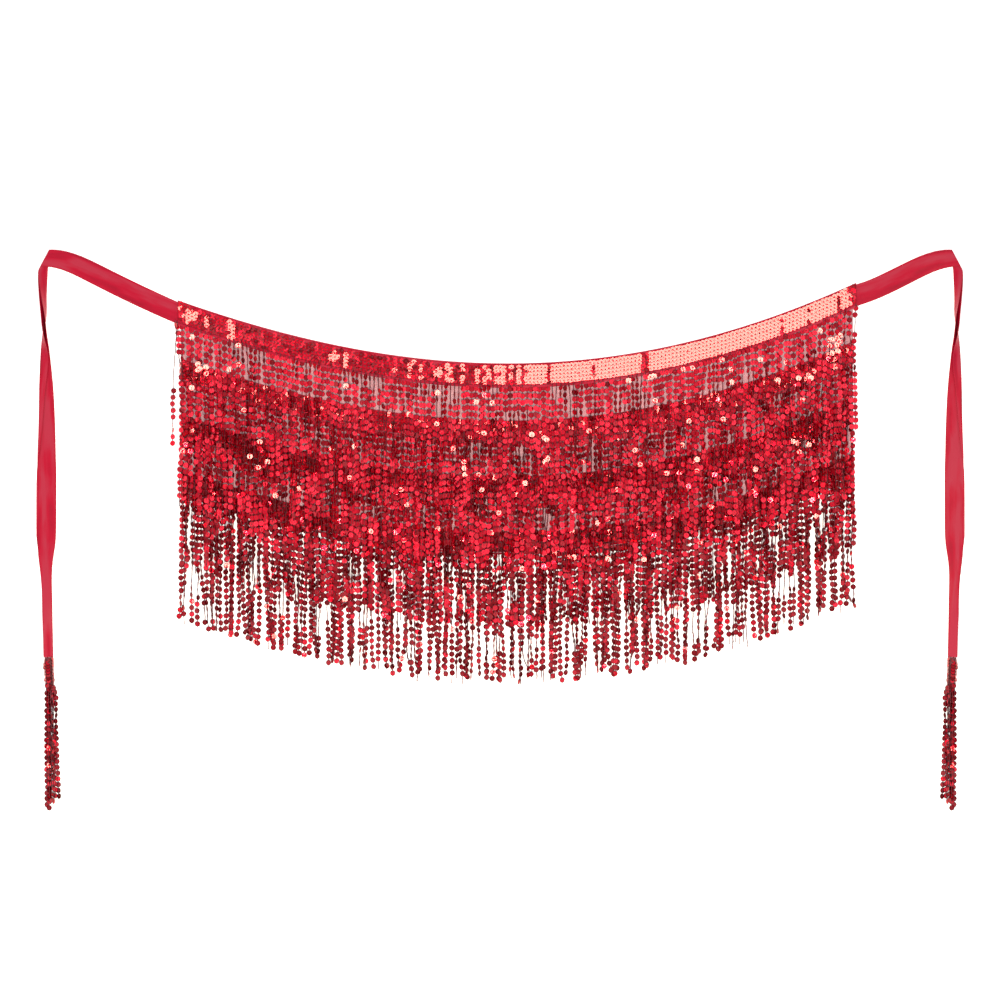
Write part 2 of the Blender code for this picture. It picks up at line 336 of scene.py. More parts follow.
def netMaterial():
    # the mesh of the net is finer than a pixel: threads hide the table, holes show it
    material, nodes, links, shader = startMaterial("stretchNet")
    shader.inputs["Roughness"].default_value = net["roughness"]
    place = nodes.new("ShaderNodeTexCoord")
    cells = nodes.new("ShaderNodeTexVoronoi")
    cells.feature = "DISTANCE_TO_EDGE"
    cells.inputs["Scale"].default_value = net["mesh"]
    cells.inputs["Randomness"].default_value = net["uneven"]
    links.new(place.outputs["Object"], cells.inputs["Vector"])
    alpha = nodes.new("ShaderNodeMapRange")
    alpha.inputs["From Min"].default_value = net["threadWide"][0]
    alpha.inputs["From Max"].default_value = net["threadWide"][1]
    alpha.inputs["To Min"].default_value = net["cover"][0]
    alpha.inputs["To Max"].default_value = net["cover"][1]
    links.new(cells.outputs["Distance"], alpha.inputs["Value"])
    links.new(alpha.outputs["Result"], shader.inputs["Alpha"])
    colours = rampNode(nodes, (0.0, net["thread"]), (0.5, net["light"]))
    links.new(cells.outputs["Distance"], colours.inputs["Fac"])
    links.new(colours.outputs["Color"], shader.inputs["Base Color"])
    bumpNode(nodes, links, shader, cells.outputs["Distance"], net["bump"])
    return material


foilFinish = foilMaterial()
threadFinish = threadMaterial()
satinFinish = satinMaterial()
netFinish = netMaterial()
print("materials made")


# one sequin, from which every other is copied

sequin = {
    "sides": 8,
    "radius": 0.0035,
    "hole": 0.00050,
    "crown": 0.0023,
    "crownHigh": 0.00003,
    "cup": 0.00001,
    "merge": 0.00001,
    "rimFrom": 0.95,
}


def modelSequin():
    # the rim is drawn in to the hole below, up to the crown, and out to the rim again
    bpy.ops.object.select_all(action="DESELECT")
    bpy.ops.mesh.primitive_circle_add(vertices=sequin["sides"], radius=sequin["radius"])
    piece = bpy.context.object
    bpy.ops.object.mode_set(mode="EDIT")
    bpy.ops.mesh.select_all(action="SELECT")
    steps = (
        (-sequin["cup"], sequin["hole"] / sequin["radius"]),
        (sequin["cup"] + sequin["crownHigh"], sequin["crown"] / sequin["hole"]),
        (-sequin["crownHigh"], sequin["radius"] / sequin["crown"]),
    )
    for rise, spread in steps:
        bpy.ops.mesh.extrude_region_move(TRANSFORM_OT_translate={"value": (0, 0, rise)})
        bpy.ops.transform.resize(value=(spread, spread, 1), center_override=(0, 0, 0))
    bpy.ops.mesh.select_all(action="SELECT")
    bpy.ops.mesh.remove_doubles(threshold=sequin["merge"])
    bpy.ops.mesh.normals_make_consistent(inside=False)
    bpy.ops.object.mode_set(mode="OBJECT")
    corners = np.array([tuple(v.co) for v in piece.data.vertices])
    faces = np.array([tuple(p.vertices) for p in piece.data.polygons])
    bpy.data.objects.remove(piece, do_unlink=True)
    return corners, faces


sequinCorners, sequinFaces = modelSequin()
print("sequin modelled:", len(sequinFaces), "faces")


def sequinsAt(name, places, turns, tones, rimShadeStrength):
    # one mesh with a sequin at each place, and its own tone of foil on each
    points = np.einsum("nij,vj->nvi", turns, sequinCorners) + places[:, None, :]
    starts = np.arange(len(places)) * len(sequinCorners)
    faces = sequinFaces[None] + starts[:, None, None]
    piece = meshPiece(name, points.reshape(-1, 3), faces.reshape(-1, 4))
    addAttribute(piece, "tone", "FLOAT", "FACE", np.repeat(tones, len(sequinFaces)))
    # painted shade: the outer corners of each sequin carry a darkening weight
    outer = np.linalg.norm(sequinCorners[:, :2], axis=1)
    outer = outer > sequin["radius"] * sequin["rimFrom"]
    addAttribute(piece, "rimShade", "FLOAT", "POINT", np.tile(rimShadeStrength * outer, len(places)))
    piece.data.materials.append(foilFinish)
    return piece


def threadsAlong(name, paths, radius):
    curve = bpy.data.curves.new(name, "CURVE")
    curve.dimensions = "3D"
    curve.bevel_depth = radius
    curve.bevel_resolution = 0
    curve.use_fill_caps = True
    curve.materials.append(threadFinish)
    for path in paths:
        spline = curve.splines.new("POLY")
        spline.points.add(len(path) - 1)
        spline.points.foreach_set("co", np.c_[path, np.ones(len(path))].ravel())
    piece = bpy.data.objects.new(name, curve)
    bpy.context.scene.collection.objects.link(piece)
    select(piece)
    bpy.ops.object.convert(target="MESH")
    return bpy.context.object


def unit(ways):
    return ways / np.linalg.norm(ways, axis=-1, keepdims=True)


def turnsFrom(along, twist, nod):
    # a sequin's axes: y up the strand, z its face, turned about the strand and nodded
    along = unit(along)
    side = unit(np.cross(along, (0.0, 0.0, 1.0)))
    face = np.cross(side, along)
    cosTwist, sinTwist = np.cos(twist)[:, None], np.sin(twist)[:, None]
    face, side = face * cosTwist + side * sinTwist, side * cosTwist - face * sinTwist
    cosNod, sinNod = np.cos(nod)[:, None], np.sin(nod)[:, None]
    face, along = face * cosNod + along * sinNod, along * cosNod - face * sinNod
    return np.stack([side, along, face], axis=-1)


def turnsFlashing(places, along, box, loose):
    # a sequin that throws a softbox's light straight up at the camera
    light = np.array(studio["boxes"][box][0])
    eye = np.array((*studio["centre"], studio["cameraHigh"]))
    face = unit(unit(light - places) + unit(eye - places)) + loose
    face = unit(face)
    side = unit(np.cross(along, face))
    return np.stack([side, np.cross(face, side), face], axis=-1)


# net panel, waist ribbon

panels = {
    "columns": 96,
    "netThick": 0.0004,
    "netDepth": 0.2265,
    "netBase": 0.0002,
    "netRows": 24,
    "ribbonHigh": 0.0288,
    "ribbonThick": 0.0005,
    "ribbonBase": 0.0017,
    "ribbonRows": 8,
    "ripple": 0.00022,
    "rippleAlong": (160, 45),
    "rippleDown": (31, 90),
    "hemWide": 0.0002,
    "hemShare": 0.35,
}


def clothPanel(name, ends, upper, lower, base, thick, rows, material):
    # a grid bent to the waist curve, with faint ripples, then given its wall
    bpy.ops.object.select_all(action="DESELECT")
    bpy.ops.mesh.primitive_grid_add(
        x_subdivisions=panels["columns"], y_subdivisions=rows, size=1
    )
    piece = bpy.context.object
    piece.name = piece.data.name = name
    points = np.array([tuple(v.co) for v in piece.data.vertices])
    x = ends[0] + (points[:, 0] + 0.5) * (ends[1] - ends[0])
    depth = lower + (points[:, 1] + 0.5) * (upper - lower)
    along, down = panels["rippleAlong"], panels["rippleDown"]
    waves = np.sin(x * along[0] + depth * along[1]) * np.sin(x * down[0] + depth * down[1])
    rise = panels["ripple"] * (1 + waves) / 2
    points = np.stack([x, waistLine(x) - depth, base + rise], axis=1)
    piece.data.vertices.foreach_set("co", points.ravel())
    piece.data.update()
    hem = np.minimum(depth - upper, lower - depth) < panels["hemWide"]
    share = np.where(hem, panels["hemShare"], 0.0)
    addAttribute(piece, "selvedge", "FLOAT", "POINT", share)
    laid = np.stack([x, depth, depth * 0], axis=1)
    addAttribute(piece, "cloth", "FLOAT_VECTOR", "POINT", laid.ravel())
    applyModifier(piece, "wall", "SOLIDIFY", thickness=thick, offset=1.0)
    piece.data.materials.append(material)
    return piece


def makeNet():
    piece = clothPanel(
        "netPanel", belt["netEnds"], 0, panels["netDepth"], panels["netBase"],
        panels["netThick"], panels["netRows"], netFinish,
    )
    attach(piece, "root")
    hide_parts("base_net")


def makeWaistRibbon():
    piece = clothPanel(
        "waistRibbon", belt["waistEnds"], 0, panels["ribbonHigh"], panels["ribbonBase"],
        panels["ribbonThick"], panels["ribbonRows"], satinFinish,
    )
    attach(piece, "root")
    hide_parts("waistband")


# spots where a few sequins together catch the light: x, y, reach
glints = (
    (-0.3720, 0.2570, 0.0075),
    (-0.3246, 0.2472, 0.0040),
    (-0.2004, 0.2076, 0.0065),
    (-0.3560, 0.1970, 0.0095),
    (-0.3140, 0.2220, 0.0050),
    (0.4000, 0.2240, 0.0110),
    (0.3760, 0.1870, 0.0090),
    (0.1840, 0.1880, 0.0090),
    (0.2240, 0.1950, 0.0080),
    (0.0450, 0.1750, 0.0050),
)


def nearGlints(places):
    near = np.zeros(len(places), bool)
    for x, y, reach in glints:
        near |= np.hypot(places[:, 0] - x, places[:, 1] - y) < reach
    return near


# sequinned headings: columns of overlapping sequins on a narrow tape

heading = {
    "seed": 23,
    "columns": 180,
    "rows": 5,
    "tape": 0.0003,
    "tapeRows": 4,
    "tuck": 0.0001,  # how far tapes and strips sink into the cloth they are sewn to
    "lap": 9.0,
    "loose": 17.0,
    "nodShare": 0.6,
    "jitter": 0.00025,
    "flashing": (-0.15, 0.09),
    "flashEnd": 0.4185,
    "flashLoose": 0.006,
    "streaks": (0.07, 0.6),
    "broken": 0.5,
    # the sequins at either end climb towards the ribbon's edge: how far, over how long
    "endRise": (0.0024, 0.020),
    "mostLoose": 1.6,
    "sparkle": (0, 0.09, 0.008, 0.004),
    "stitch": (0.0009, 0.0006, 0.7),  # half its width, height, and how much the top narrows
    "lift": 0.00075,
    # how strongly each sequin's rim is darkened with painted shade
    "rimShade": 0.45,
    "tone": (0.44, 0.85, 0.62, 0.32),
    "toneSpread": 0.32,
}


def stitchesAt(places, lean):
    # a short stitch of thread over the hole of each sequin
    half, high, narrowing = heading["stitch"]
    box = half * np.array([(-1, -1, 0), (1, -1, 0), (1, 1, 0), (-1, 1, 0)])
    corners = np.vstack([box, box * narrowing + (0, 0, high)])
    faces = np.array([(4, 5, 6, 7), (0, 1, 5, 4), (1, 2, 6, 5), (2, 3, 7, 6), (3, 0, 4, 7)])
    cosLean, sinLean = np.cos(lean)[:, None], np.sin(lean)[:, None]
    turned = np.stack([
        cosLean * corners[:, 0] - sinLean * corners[:, 1],
        sinLean * corners[:, 0] + cosLean * corners[:, 1],
        np.broadcast_to(corners[:, 2], (len(places), len(corners))),
    ], axis=-1)
    points = turned + places[:, None, :]
    starts = np.arange(len(places)) * len(corners)
    faces = faces + starts[:, None, None]
    piece = meshPiece("stitches", points.reshape(-1, 3), faces.reshape(-1, 4))
    piece.data.materials.append(threadFinish)
    return piece


def litInWaist(chance, x, places):
    # the right half of the waist faces the light, apart from a few columns, and on the
    # left a few short columns do
    columns = heading["columns"]
    column = np.tile(np.arange(columns), heading["rows"])
    oddColumns, oddSequins = heading["streaks"]
    odd = chance.uniform(size=columns)[column] < oddColumns
    share = np.interp(x, heading["flashing"], (0, 1))
    lit = chance.uniform(size=columns)[column] < share
    lit &= chance.uniform(size=len(x)) > heading["broken"] * (1 - share)
    lit ^= odd & (chance.uniform(size=len(x)) < oddSequins)
    return (lit & (x < heading["flashEnd"])) | nearGlints(places)


def makeHeading(tier):
    chance = np.random.RandomState(heading["seed"] + tier)
    left, right = endsOf(tier)
    base = belt["headingBase"][tier]
    root = rootOf(tier)
    upper = root - belt["headingHigh"]
    radius = sequin["radius"]
    across = np.linspace(left + radius, right - radius, heading["columns"])
    down = np.linspace(upper + radius, root - radius, heading["rows"])
    x, depth = (a.ravel() for a in np.meshgrid(across, down))
    count = len(x)
    places = np.stack(
        [x, waistLine(x) - depth, np.full(count, base + heading["lift"])], axis=1
    )
    lean = waistTurn(x)
    along = np.stack([-np.sin(lean), np.cos(lean), np.zeros(count)], axis=1)
    loose, most = np.radians(heading["loose"]), heading["mostLoose"]
    twist = np.clip(chance.normal(0, 1, count), -most, most) * loose
    nodding = np.clip(chance.normal(0, 1, count), -most, most)
    nod = np.radians(heading["lap"]) + nodding * loose * heading["nodShare"]
    turns = turnsFrom(along, twist, nod)
    # where light and rise begin is uneven, and the rows are too
    x = x + chance.normal(0, heading["jitter"], count)
    places[:, 1] += chance.normal(0, heading["jitter"], count)
    if tier == 0:
        rise, reach = heading["endRise"]
        inward = np.minimum(x - left, right - x) / reach
        places[:, 1] += rise * np.sqrt(np.clip(1 - inward, 0, 1))
        lit = litInWaist(chance, x, places)
    else:
        lit = chance.uniform(size=count) < heading["sparkle"][tier]
    shaking = chance.normal(0, heading["flashLoose"], (count, 3))
    turns[lit] = turnsFlashing(places, along, "waistBox", shaking)[lit]
    tones = chance.normal(heading["tone"][tier], heading["toneSpread"], count)
    tones = np.clip(tones, 0, 1)
    tones[lit] = 0
    scales = sequinsAt("scales", places, turns, tones, heading["rimShade"])
    stitches = stitchesAt(places, lean)
    tape = clothPanel(
        "tape", (left, right), upper, root, base - heading["tuck"], heading["tape"],
        heading["tapeRows"], satinFinish,
    )
    piece = joinInto(f"heading{tier + 1}", scales, stitches, tape)
    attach(piece, "root")
    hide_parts(f"sequin_band_{tier + 1}")


# fringe: strands of threaded sequins, each tier lying over the next

fringe = {
    "seed": 33,
    "strands": 160,
    "length": 0.1560,
    "ragged": 0.0045,
    "pitch": 0.0077,
    "uneven": 0.05,
    "first": (0.0036, 0.0030),  # where the first sequin hangs, and how far that varies
    "hangAt": (0.3, 0.4),  # where in its share of the width, and how far odd tiers shift
    "sway": 0.0022,
    "wander": 0.0005,
    "spill": 0.0040,
    # sideways hook of the last sequins: usual, strong, share of strong, where it starts
    "hook": (0.0012, 0.0060, 0.20, 0.75),
    "bareEnds": (0.16, 0.009),  # share of strands with a bare end, and how long it is
    "endGap": 0.0015,
    "tail": (0.0035, 0.0004),  # thread below the last sequin, and how far it strays
    "rootTuck": 0.001,
    "behind": 0.7,
    "patch": (0.045, 0.060),
    "patchSizes": (0.6, 1.8),
    "moody": 0.16,
    "edgeShare": 0.24,
    "edgeTurn": 70.0,
    "edgeSoft": 5,
    "crowded": ((0.000, 0.030, 0.048, 0.095, 0.130), (-0.16, -0.12, 0.12, 0.12, 0.0)),
    "turning": (26.0, 14.0),
    "shake": 7.0,
    "wave": (0.05, 0.16),
    "nod": (5.0, 5.0),
    "flashing": (0.016, 0.006, 0.0025, 0.0015),
    "flashLoose": 0.014,
    "glintShare": 0.75,
    "tone": (0.56, 0.52, 0.20, 0.04),
    "toneSpread": 0.24,
    "edgeShade": 0.05,
    # how strongly each sequin's rim is darkened with painted shade, tier by tier
    "rimShade": (0.72, 0.48, 0.52, 1.0),
    # the outermost strands of the first tier: how far out at the root and lower down, and
    # a run of bare thread
    "outer": {
        0: (0.0028, 0.0008, 0.0068, 0.076),
        159: (0.0035, -0.0030, 0.012, 0.028),
    },
    # the first strands of the first tier hang nearer the edge: how far, over how many
    "edgeShift": (0.0072, 12),
    "outerDrop": 0.45,
    "lie": 0.00045,
    "clear": 0.0002,
    # how high a strand lies over what is under it, tier by tier: depth, height
    "paths": (
        ((0.0264, 0.0029), (0.0600, 0.0030), (0.0920, 0.0044), (0.1280, 0.0071)),
        (
            (0.0931, 0.0014), (0.1000, 0.0015), (0.1280, 0.0042), (0.1860, 0.0042),
            (0.1970, 0.0061),
        ),
        ((0.1598, 0.0014), (0.1860, 0.0015), (0.1970, 0.0034), (0.2550, 0.0034)),
        ((0.2265, 0.0012), (0.2370, 0.0004), (0.3100, 0.0004)),
    ),
    "strip": (0.0003, 0.0030, 0.0009),
    "stripRows": 2,
}


def strandTwist(chance, down, patches):
    # a strand turns slowly one way and back, and in patches it stands on edge for a run
    swing = np.radians(fringe["turning"][0] + fringe["turning"][1] * chance.normal())
    wave = chance.uniform(*fringe["wave"])
    start = chance.uniform(0, 2 * math.pi)
    shake = np.radians(fringe["shake"]) * chance.normal(0, 1, len(down))
    turned = (patches - (1 - fringe["edgeShare"])) * fringe["edgeSoft"] + 0.5
    edge = np.radians(fringe["edgeTurn"]) * chance.choice((-1, 1)) * np.clip(turned, 0, 1)
    return edge + swing * np.sin(2 * math.pi * down / wave + start) + shake


def patchiness(chance, tables=6):
    # a soft pattern from 0 to 1 over the cloth, shared by neighbouring strands
    wide, high = fringe["patch"]
    ways = chance.uniform(0, 2 * math.pi, tables)
    sizes = chance.uniform(*fringe["patchSizes"], tables)
    starts = chance.uniform(0, 2 * math.pi, tables)

    def at(x, depth):
        total = 0
        for way, size, start in zip(ways, sizes, starts):
            reach = x * math.cos(way) / wide + depth * math.sin(way) / high
            total = total + np.sin(2 * math.pi * reach / size + start)
        return 0.5 + total / (2 * math.sqrt(tables))

    return at


def strandLine(chance, tier, i):
    # how far down and across each sequin of a strand hangs, and which are there
    left, right = endsOf(tier)
    bareShare, bareLong = fringe["bareEnds"]
    length = fringe["length"] + fringe["ragged"] * chance.uniform(-1, 1)
    bare = bareLong * (chance.uniform() < bareShare)
    pitch = fringe["pitch"] * (1 + fringe["uneven"] * chance.uniform(-1, 1))
    first = fringe["first"][0] + fringe["first"][1] * chance.uniform()
    down = np.arange(first, length - fringe["endGap"] - bare, pitch)
    sway = fringe["sway"] * chance.normal()
    wander = np.cumsum(chance.normal(0, fringe["wander"], len(down)))
    usual, strong, strongShare, hookFrom = fringe["hook"]
    hook = (strong if chance.uniform() < strongShare else usual) * chance.normal()
    hook = hook * np.clip((down - hookFrom * length) / ((1 - hookFrom) * length), 0, 1) ** 2
    place, shift = fringe["hangAt"]
    hung = left + (right - left) / fringe["strands"] * (i + place + shift * (tier % 2))
    if tier == 0:
        shift, reach = fringe["edgeShift"]
        hung -= shift * max(0, 1 - abs(i - 1) / reach)
    x = hung + sway * down / length + wander - wander[0] + hook
    x = np.clip(x, left - fringe["spill"], right + fringe["spill"] / 2)
    threaded = np.ones(len(down), bool)
    if tier == 0 and i in fringe["outer"]:
        rootOut, lowOut, bareFrom, bareTo = fringe["outer"][i]
        out = np.interp(down, (0, fringe["outerDrop"] * length), (rootOut, lowOut))
        x = hung + out + wander - wander[0]
        threaded = (down < bareFrom) | (down > bareTo)
    return down, x, bare, threaded


def strandSequins(chance, tier, pattern, down, x):
    # the place, turn and tone of each sequin of a strand
    count = len(down)
    mood = pattern(x, down) + fringe["moody"] * chance.normal()
    twist = strandTwist(chance, down, mood + np.interp(down, *fringe["crowded"]))
    depths, lows = zip(*fringe["paths"][tier])
    low = np.interp(rootOf(tier) + down, depths, lows)
    z = low + fringe["lie"] + sequin["radius"] * np.abs(np.sin(twist))
    path = np.stack([x, waistLine(x[0]) - rootOf(tier) - down, z], axis=1)
    along = -np.gradient(path, axis=0)
    nod = np.radians(fringe["nod"][0] + fringe["nod"][1] * chance.normal(0, 1, count))
    turns = turnsFrom(along, twist, nod)
    shaking = chance.normal(0, fringe["flashLoose"], (count, 3))
    flashing = turnsFlashing(path, unit(along), "glintBox", shaking)
    lit = chance.uniform(size=count) < fringe["flashing"][tier]
    if tier == 0:
        lit |= nearGlints(path) & (chance.uniform(size=count) < fringe["glintShare"])
    turns[lit] = flashing[lit]
    # no sequin dips into the table
    reach = sequin["radius"] * np.sqrt(1 - np.clip(turns[:, 2, 2], -1, 1) ** 2)
    path[:, 2] = np.maximum(path[:, 2], reach + fringe["clear"])
    tones = chance.normal(fringe["tone"][tier], fringe["toneSpread"], count)
    tones = np.where(lit, 0, tones - fringe["edgeShade"] * np.sin(twist) ** 2)
    return path, turns, tones, low[-1]


def makeFringe(tier):
    chance = np.random.RandomState(fringe["seed"] + tier)
    pattern = patchiness(chance)
    tail, stray = fringe["tail"]
    places, turns, tones, paths = [], [], [], []
    for i in range(fringe["strands"]):
        down, x, bare, threaded = strandLine(chance, tier, i)
        path, turn, tone, endLow = strandSequins(chance, tier, pattern, down, x)
        places.append(path[threaded])
        turns.append(turn[threaded])
        tones.append(tone[threaded])
        start = path[0] + (0, down[0] + fringe["rootTuck"], 0)
        end = path[-1] + (stray * chance.normal(), -tail - bare, 0)
        end[2] = endLow + thread["radius"]
        # the thread runs behind the sequins
        behind = (0, 0, thread["radius"] * fringe["behind"])
        paths.append(np.vstack([start, path, end]) - behind)
    places, turns = np.vstack(places), np.vstack(turns)
    tones = np.clip(np.concatenate(tones), 0, 1)
    beads = sequinsAt("beads", places, turns, tones, fringe["rimShade"][tier])
    cords = threadsAlong("cords", paths, thread["radius"])
    gap, high, thick = fringe["strip"]
    root, base = rootOf(tier), belt["headingBase"][tier] - heading["tuck"]
    strip = clothPanel(
        "strip", endsOf(tier), root + gap, root + high, base, thick, fringe["stripRows"],
        satinFinish,
    )
    piece = joinInto(f"sequinFringe{tier + 1}", beads, cords, strip)
    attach(piece, "root")
    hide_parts(f"fringe_{tier + 1}")
    print(piece.name, len(places), "sequins")


# ties: 25 mm satin ribbon, folded at the corner, twisted, and folded lengthwise

tie = {
    "wall": 0.0005,
    "bend": 0.00204,
    "bendSteps": 4,
    "acrossSteps": 7,
    "solidHalf": 0.0005,
    "smoothTo": 50,
    # creases: their depth, the waves of the broad, slow and fine ones, the share of the
    # fine ones, and how far off the table and how fast they come in
    "crease": 0.000108,
    "creaseWaves": ((300, 190), (83, 1.7), (620, -410)),
    "creaseFine": 0.6,
    "creaseFrom": (0.0004, 3000),
    "leftLong": 0.652,
    "rightLong": 0.607,
    # x, y, height of the underside, way across, flat, turned, fold angle, twist
    "leftSeam": (
        (-0.3870, 0.2615, 0.0013, 90, 0.0234, 0.0010, 0, 0),
        (-0.3890, 0.2622, 0.0013, 88, 0.0232, 0.0010, 0, 0),
        (-0.4081, 0.2705, 0.0000, 65, 0.0220, 0.0010, 0, 0),
    ),
    "rightSeam": (
        (-0.4266, 0.2828, 0.0013, 90, 0.0232, 0.0010, 0, 0),
        (-0.4286, 0.2832, 0.0013, 85, 0.0228, 0.0010, 0, 0),
    ),
    "rows": (
        (-0.4513, 0.2906, 0.0000, 65, 0.0220, 0.0010, 0, 0),
        (-0.4885, 0.3096, 0.0000, 65, 0.0220, 0.0010, 0, 0),
        (-0.5064, 0.3185, 0.0004, 69, 0.0214, 0.0010, 0, 0),
        (-0.5238, 0.3250, 0.0019, 78, 0.0200, 0.0010, 0, 0),
        (-0.5370, 0.3272, 0.0031, 78, 0.0184, 0.0010, 0, 0),
        (-0.5456, 0.3276, 0.0031, 64, 0.0190, 0.0010, 0, 0),
        (-0.5463, 0.3277, 0.0029, 62, 0.0192, 0.0010, 0, 0),
        (-0.5466, 0.3277, 0.0023, 62, 0.0192, 0.0010, 0, 0),
        (-0.5464, 0.3272, 0.0017, 61, 0.0192, 0.0010, 0, 0),
        (-0.5461, 0.3262, 0.0014, 58, 0.0190, 0.0010, 0, 0),
        (-0.5470, 0.3228, 0.0000, 47, 0.0172, 0.0030, 180, 0),
        (-0.5480, 0.3178, 0.0000, 32, 0.0134, 0.0094, 180, 0),
        (-0.5492, 0.3112, 0.0000, 12, 0.0115, 0.0114, 180, 8),
        (-0.5491, 0.3036, 0.0000, 0, 0.0115, 0.0114, 176, 30),
        (-0.5490, 0.2892, 0.0000, 0, 0.0115, 0.0114, 172, 54),
        (-0.5484, 0.2736, 0.0000, 0, 0.0115, 0.0114, 168, 68),
        (-0.5473, 0.2592, 0.0000, 0, 0.0115, 0.0114, 162, 82),
        (-0.5471, 0.2472, 0.0000, 0, 0.0115, 0.0114, 162, 98),
        (-0.5466, 0.2328, 0.0000, 0, 0.0115, 0.0114, 166, 118),
        (-0.5462, 0.2196, 0.0000, 0, 0.0117, 0.0112, 172, 142),
        (-0.5459, 0.2052, 0.0000, 0, 0.0120, 0.0109, 180, 165),
        (-0.5454, 0.1872, 0.0000, 0, 0.0144, 0.0086, 180, 180),
        (-0.5448, 0.1668, 0.0000, 0, 0.0168, 0.0062, 180, 180),
        (-0.5442, 0.1392, 0.0000, 0, 0.0183, 0.0047, 180, 180),
        (-0.5442, 0.1092, 0.0000, 0, 0.0202, 0.0028, 180, 180),
        (-0.5447, 0.0876, 0.0000, 0, 0.0215, 0.0015, 180, 180),
        (-0.5448, 0.0780, 0.0000, 0, 0.0210, 0.0010, 0, 180),
        (-0.5450, 0.0372, 0.0000, 0, 0.0210, 0.0010, 0, 180),
        (-0.5450, 0.0012, 0.0000, 0, 0.0210, 0.0010, 0, 180),
        (-0.5454, -0.0150, 0.0000, 0, 0.0206, 0.0010, 0, 180),
        (-0.5454, -0.0288, 0.0000, 0, 0.0180, 0.0050, -180, 180),
        (-0.5454, -0.0444, 0.0000, 0, 0.0138, 0.0092, -180, 180),
        (-0.5444, -0.0624, 0.0000, 0, 0.0116, 0.0113, -180, 180),
        (-0.5436, -0.0828, 0.0000, 0, 0.0115, 0.0114, -178, 182),
        (-0.5435, -0.1008, 0.0000, 0, 0.0115, 0.0114, -175, 196),
        (-0.5425, -0.1212, 0.0000, 0, 0.0115, 0.0114, -172, 210),
        (-0.5420, -0.1512, 0.0000, 0, 0.0115, 0.0114, -172, 210),
    ),
}


def ribbonProfile(flat, turned, turn):
    # points across the cloth: its flat stretch, the bend, and what is turned over
    steps = tie["acrossSteps"]
    points = [(flat * i / steps, 0.0) for i in range(steps + 1)]
    across, up = points[-1]
    turn = math.radians(turn)
    part = tie["bend"] / tie["bendSteps"]
    for step in range(tie["bendSteps"]):
        way = turn * (step + 0.5) / tie["bendSteps"]
        across += part * math.cos(way)
        up += part * math.sin(way)
        points.append((across, up))
    for i in range(1, steps + 1):
        reach = turned * i / steps
        points.append((across + reach * math.cos(turn), up + reach * math.sin(turn)))
    middle = (min(p[0] for p in points) + max(p[0] for p in points)) / 2
    return [Vector((a - middle, u)) for a, u in points]


def ribbonRow(before, row, after):
    x, y, low, acrossWay, flat, turned, turn, roll = row
    way = Vector((after[0] - before[0], after[1] - before[1], after[2] - before[2]))
    angle = math.radians(acrossWay)
    across = Vector((math.cos(angle), math.sin(angle), 0))
    up = across.cross(way).normalized()
    rolled = Matrix.Rotation(math.radians(roll), 3, across.cross(up))
    points = [rolled @ (across * p.x + up * p.y) for p in ribbonProfile(flat, turned, turn)]
    if acrossWay == 0:
        middle = (min(p.x for p in points) + max(p.x for p in points)) / 2
        points = [p - Vector((middle, 0, 0)) for p in points]
    drop = min(p.z for p in points)
    return [p + Vector((x, y, low + tie["solidHalf"] - drop)) for p in points]


def makeTie(name, side, seam):
    rows = seam + tie["rows"]
    grid = []
    for i, row in enumerate(rows):
        grid.append(ribbonRow(rows[max(i - 1, 0)], row, rows[min(i + 1, len(rows) - 1)]))
    wide = len(grid[0])
    points = [(side * p.x, p.y, p.z) for line in grid for p in line]
    faces = []
    for i in range(len(grid) - 1):
        for j in range(wide - 1):
            a = i * wide + j
            faces.append((a, a + 1, a + wide + 1, a + wide))
    piece = meshPiece("ribbon" + name, points, faces)
    ends = np.zeros(wide)
    ends[[0, -1]] = 1.0
    addAttribute(piece, "selvedge", "FLOAT", "POINT", np.tile(ends, len(grid)))
    middles = np.array([tuple(line[wide // 2]) for line in grid])
    steps = np.linalg.norm(np.diff(middles, axis=0), axis=1)
    along = np.repeat(np.concatenate([[0], np.cumsum(steps)]), wide)
    across = np.tile(np.linspace(0, 0.025, wide), len(grid))
    laid = np.stack([along, across, across * 0], axis=1)
    addAttribute(piece, "cloth", "FLOAT_VECTOR", "POINT", laid.ravel())
    applyModifier(
        piece, "soft", "SUBSURF", levels=1, render_levels=1,
        boundary_smooth="PRESERVE_CORNERS",
    )
    # soft creases, as left by folding and pressing, where the cloth stands off the table
    co = np.array([tuple(v.co) for v in piece.data.vertices])
    x, y, z = co.T
    broad, slow, fine = tie["creaseWaves"]
    rise = np.sin(y * broad[0] + x * broad[1]) * np.sin(y * slow[0] + slow[1])
    rise += tie["creaseFine"] * np.sin(y * fine[0] + x * fine[1])
    low, fade = tie["creaseFrom"]
    co[:, 2] += tie["crease"] * rise * np.clip((z - low) * fade, 0, 1)
    piece.data.vertices.foreach_set("co", co.ravel())
    applyModifier(piece, "wall", "SOLIDIFY", thickness=tie["wall"], offset=0.0)
    select(piece)
    bpy.ops.object.shade_smooth_by_angle(angle=math.radians(tie["smoothTo"]))
    piece.data.materials.append(satinFinish)
    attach(piece, "root")
    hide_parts("tie_" + name.lower())


# tassels: a rolled end of the same trim with eight strands

